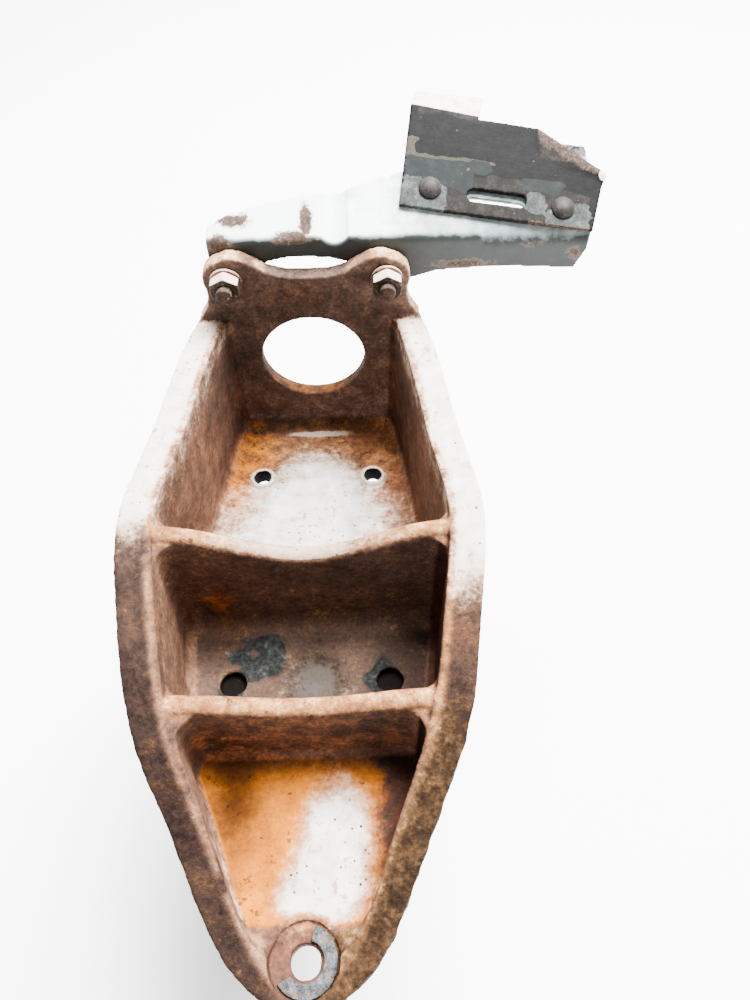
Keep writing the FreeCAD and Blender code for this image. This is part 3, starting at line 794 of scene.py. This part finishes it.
def build_slotted_bracket():
    obj = remeshed("slotted_bracket", "slotted_bracket_plate", 0.75 * MM, 2)
    mesh = obj.data
    p, n = mesh_points(mesh) / MM, mesh_normals(mesh)
    left, along, up, normal = slope_axes()
    u = (p - left) @ along
    w = (p - left) @ up
    wander = rough_noise(p, 14, 71)
    small = rough_noise(p, 5, 72)

    def patch(u0, u1, w0, w1, soft=3.0, wobble=3.0):
        """1 inside an uneven rectangle on the plate, fading over soft millimetres."""
        a = u + wobble * small
        b = w + wobble * wander
        return step(u0 - soft, u0 + soft, a) * step(u1 + soft, u1 - soft, a) \
            * step(w0 - soft, w0 + soft, b) * step(w1 + soft, w1 - soft, b)

    fringe = np.maximum(patch(-18, 36, 18.5, 21.5, 2), patch(-18, -11, 14, 32, 2))
    blue = np.maximum.reduce([patch(-18, 24, 2, 19), patch(20, 34, 12, 21, 3),
                              patch(54, 78, 7, 15, 2)])
    brown = np.maximum.reduce([patch(8, 96, -12, 10), patch(34, 60, 4, 13, 3),
                               0.55 * patch(-16, 30, 44, 54), 0.7 * patch(60, 92, 28, 46, 5)])
    pale = np.maximum.reduce([patch(-18, 9, -13, 2, 2), patch(-18, -6, -4, 6, 2),
                              patch(70, 98, -13, -1, 3),
                              0.8 * patch(58, 70, -6, 6, 2), patch(84, 96, -6, 4, 2)])
    # rust brown spreading from the diagonal edge, also standing in as a painted highlight on its
    # rounded bend
    from_edge = (93.0 - u) * 0.45 + (33.0 - w) * 0.88
    diagonal = step(17, 2, from_edge) * step(55, 62, u) * step(20, 27, w)
    rust = np.maximum(diagonal * 0.9, 0.75 * patch(60, 98, -14, -10, 1.5, 1))
    rust = np.maximum(rust, 0.35 * step(-0.4, -0.7, n @ up))
    # painted highlight along the top flange's edge and on its corner tip
    painted_highlight = step(49.5, 51.5, w + 0.03 * u) * step(30, 26, u)
    corner = blob(p, tuple(left + 101 * along + 24 * up + 2 * normal), (3, 4, 4))
    painted_highlight = np.maximum(painted_highlight, corner)
    for name, values in (("blue", blue), ("cream", 0.9 * fringe), ("brown", brown), ("pale", pale),
                         ("rust", rust), ("painted_highlight", painted_highlight)):
        add_mask(mesh, name, values)
    relief = 0.06 * rough_noise(p, 5, 81) + 0.2 * smooth_noise(p, 30, 82)
    lip = 0.9 * diagonal
    chip = 1.2 * corner
    set_points(mesh, (p + n * (relief + chip)[:, None] + normal * lip[:, None]) * MM)
    finish_piece(obj, "carrier", plate_look(), "slotted_bracket")


# ---------------------------------------------------------------- fasteners

THREAD_PITCH = 1.5
THREAD_DEPTH = 0.9
THREAD_END_Y = 357
THREAD_FADE = 3
SHANK_R = 5.0
NUT_STOPS = ((0.15, (0.007, 0.0045, 0.0035)), (0.4, (0.02, 0.0125, 0.009)),
             (0.6, (0.05, 0.033, 0.025)), (0.85, (0.17, 0.13, 0.1)))
BOLT_STOPS = ((0.2, (0.01, 0.006, 0.005)), (0.45, (0.035, 0.02, 0.014)),
              (0.65, (0.08, 0.05, 0.036)), (0.9, (0.24, 0.17, 0.13)))
WASHER_STOPS = ((0.2, (0.03, 0.014, 0.01)), (0.5, (0.16, 0.075, 0.05)),
                (0.85, (0.45, 0.28, 0.22)))
RIVET_STOPS = ((0.2, (0.008, 0.0066, 0.006)), (0.5, (0.02, 0.0175, 0.016)),
               (0.85, (0.05, 0.046, 0.042)))
TIP_STOPS = ((0.2, (0.008, 0.007, 0.007)), (0.45, (0.03, 0.032, 0.034)),
             (0.65, (0.075, 0.084, 0.09)), (0.9, (0.2, 0.22, 0.23)))


def thread_wave(y, angle):
    """0 on a crest to 1 in a root of a single start thread along Y."""
    turn = np.mod(y / THREAD_PITCH - angle / (2 * math.pi), 1.0)
    return 1 - np.abs(2 * turn - 1)


def build_bolt(side, look):
    node = side + "_bolt"
    obj = remeshed(node, node + "_threaded", 0.42 * MM, 1)
    mesh = obj.data
    p, n = mesh_points(mesh) / MM, mesh_normals(mesh)
    axis_x, axis_z = centre_of(node)[0], centre_of(node)[2]
    dx, dz = p[:, 0] - axis_x, p[:, 2] - axis_z
    radius, angle = np.hypot(dx, dz), np.arctan2(dz, dx)
    tip_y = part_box(node)[0][1] / MM
    outer = step(SHANK_R - 0.9, SHANK_R - 0.4, radius) * step(SHANK_R + 0.7, SHANK_R + 0.3, radius)
    past_tip = step(0.6, 2.0, p[:, 1] - tip_y)
    before_head = step(THREAD_END_Y + THREAD_FADE, THREAD_END_Y, p[:, 1])
    on_shank = outer * past_tip * before_head
    cut = THREAD_DEPTH * thread_wave(p[:, 1], angle) * on_shank
    worn = 0.12 * rough_noise(p, 2.5, 91) * (1 - on_shank)
    p[:, 0] -= dx / np.maximum(radius, 0.1) * cut
    p[:, 2] -= dz / np.maximum(radius, 0.1) * cut
    set_points(mesh, (p + n * worn[:, None]) * MM)
    finish_piece(obj, "carrier", look, node)


def build_nut(side, look):
    node = side + "_nut"
    obj = remeshed(node, node + "_worn", 0.4 * MM, 2)
    mesh = obj.data
    p, n = mesh_points(mesh) / MM, mesh_normals(mesh)
    axis = centre_of(node)
    radius = np.hypot(p[:, 0] - axis[0], p[:, 2] - axis[2])
    worn = (0.16 * rough_noise(p, 3, 95) - 0.05) * step(6, 7, radius)
    add_mask(mesh, "top", step(0.3, 0.5, n[:, 2]) * step(6, 7, radius))
    set_points(mesh, (p + n * worn[:, None]) * MM)
    finish_piece(obj, side + "_nut", look, node)


def build_small(node, name, body, look, voxel, roughness, smoothing=1):
    obj = remeshed(node, name, voxel * MM, smoothing)
    mesh = obj.data
    p, n = mesh_points(mesh) / MM, mesh_normals(mesh)
    worn = roughness * (rough_noise(p, 3, 97) - 0.4)
    add_mask(mesh, "top", step(0.3, 0.6, n[:, 2]))
    set_points(mesh, (p + n * worn[:, None]) * MM)
    finish_piece(obj, body, look, node)


def build_fasteners():
    nut_steel = metal_look("rusted_nut_steel", NUT_STOPS, (0.3, 0.22, 0.17), 0.64,
                           lit_top_colour=(0.6, 0.46, 0.37))
    bolt_steel = metal_look("rusted_bolt_steel", BOLT_STOPS, (0.4, 0.3, 0.24), 0.64)
    washer_steel = metal_look("rusted_washer_steel", WASHER_STOPS, (0.5, 0.36, 0.3), 0.6,
                              lit_top_colour=(0.5, 0.36, 0.28))
    rivet_paint = metal_look("painted_rivet", RIVET_STOPS, (0.05, 0.052, 0.05), 0.68,
                             roughness=0.6, metallic=0.05, depth=0.15)
    tip_metal = metal_look("corroded_tip_washer", TIP_STOPS, (0.13, 0.05, 0.025), 0.57,
                           roughness=0.55, metallic=0.5, depth=0.5)
    for side in ("left", "right"):
        build_bolt(side, bolt_steel)
        build_nut(side, nut_steel)
        build_small(side + "_washer", side + "_washer_worn", side + "_washer",
                    washer_steel, 0.4, 0.06)
        build_small(side + "_rivet", side + "_rivet_worn", "carrier", rivet_paint,
                    0.45, 0.12)
    build_small("tip_washer", "tip_washer_worn", "carrier", tip_metal, 0.4, 0.3, 2)


build_casting()
build_upper_bracket()
build_slotted_bracket()
build_fasteners()


# ---------------------------------------------------------------- floor, light and camera

FLOOR_SIZE = 6.0
CAMERA_PLACE = (0.0328, -0.0343, 0.4060)
CAMERA_PITCH = 53.92
CAMERA_YAW = -1.19
CAMERA_ROLL = -0.44
CAMERA_LENS = 27.27
FLOOR_GAP = 0.3
WORLD_STRENGTH = 0.9
KEY_POWER = 1500
KEY_PLACE = (0.7, 1.2, 2.95)
KEY_TARGET = (0.0, 0.2, 0.0)
KEY_SIZE = (1.7, 1.7)


def build_stage():
    low = CAD_BOX[0][2] - FLOOR_GAP
    data = bpy.data.meshes.new("floor")
    half = FLOOR_SIZE / 2
    corners = [(-half, -half, low), (half, -half, low), (half, half, low), (-half, half, low)]
    data.from_pydata(corners, [], [(0, 1, 2, 3)])
    floor = bpy.data.objects.new("floor", data)
    bpy.context.scene.collection.objects.link(floor)
    look = Look("floor_paint")
    tint = look.ramp(look.noise(400, 2), ((0.3, (0.93, 0.93, 0.93)), (0.7, (0.95, 0.95, 0.95))))
    floor.data.materials.append(look.finish(tint, 0.8, look.bump(look.noise(3), 0.05, 0.1)))


def build_light(name, place, target, size, power):
    data = bpy.data.lights.new(name, "AREA")
    data.shape = "RECTANGLE"
    data.size, data.size_y = size
    data.energy = power
    lamp = bpy.data.objects.new(name, data)
    bpy.context.scene.collection.objects.link(lamp)
    lamp.location = place
    lamp.rotation_euler = (Vector(target) - Vector(place)).to_track_quat("-Z", "Y").to_euler()


def build_camera():
    data = bpy.data.cameras.new("camera")
    data.lens = CAMERA_LENS
    data.sensor_width = 36
    data.clip_start = 0.01
    camera = bpy.data.objects.new("camera", data)
    bpy.context.scene.collection.objects.link(camera)
    camera.location = CAMERA_PLACE
    pitch, yaw, roll = (math.radians(a) for a in (CAMERA_PITCH, CAMERA_YAW, CAMERA_ROLL))
    turn = Euler((math.pi / 2 - pitch, 0, yaw)).to_matrix() @ Euler((0, 0, roll)).to_matrix()
    camera.rotation_euler = turn.to_euler()
    bpy.context.scene.camera = camera


build_stage()
build_light("sky", KEY_PLACE, KEY_TARGET, KEY_SIZE, KEY_POWER)
build_camera()
world = bpy.data.worlds.new("world")
world.use_nodes = True
world.node_tree.nodes["Background"].inputs[0].default_value = (1, 1, 1, 1)
world.node_tree.nodes["Background"].inputs[1].default_value = WORLD_STRENGTH
bpy.context.scene.world = world
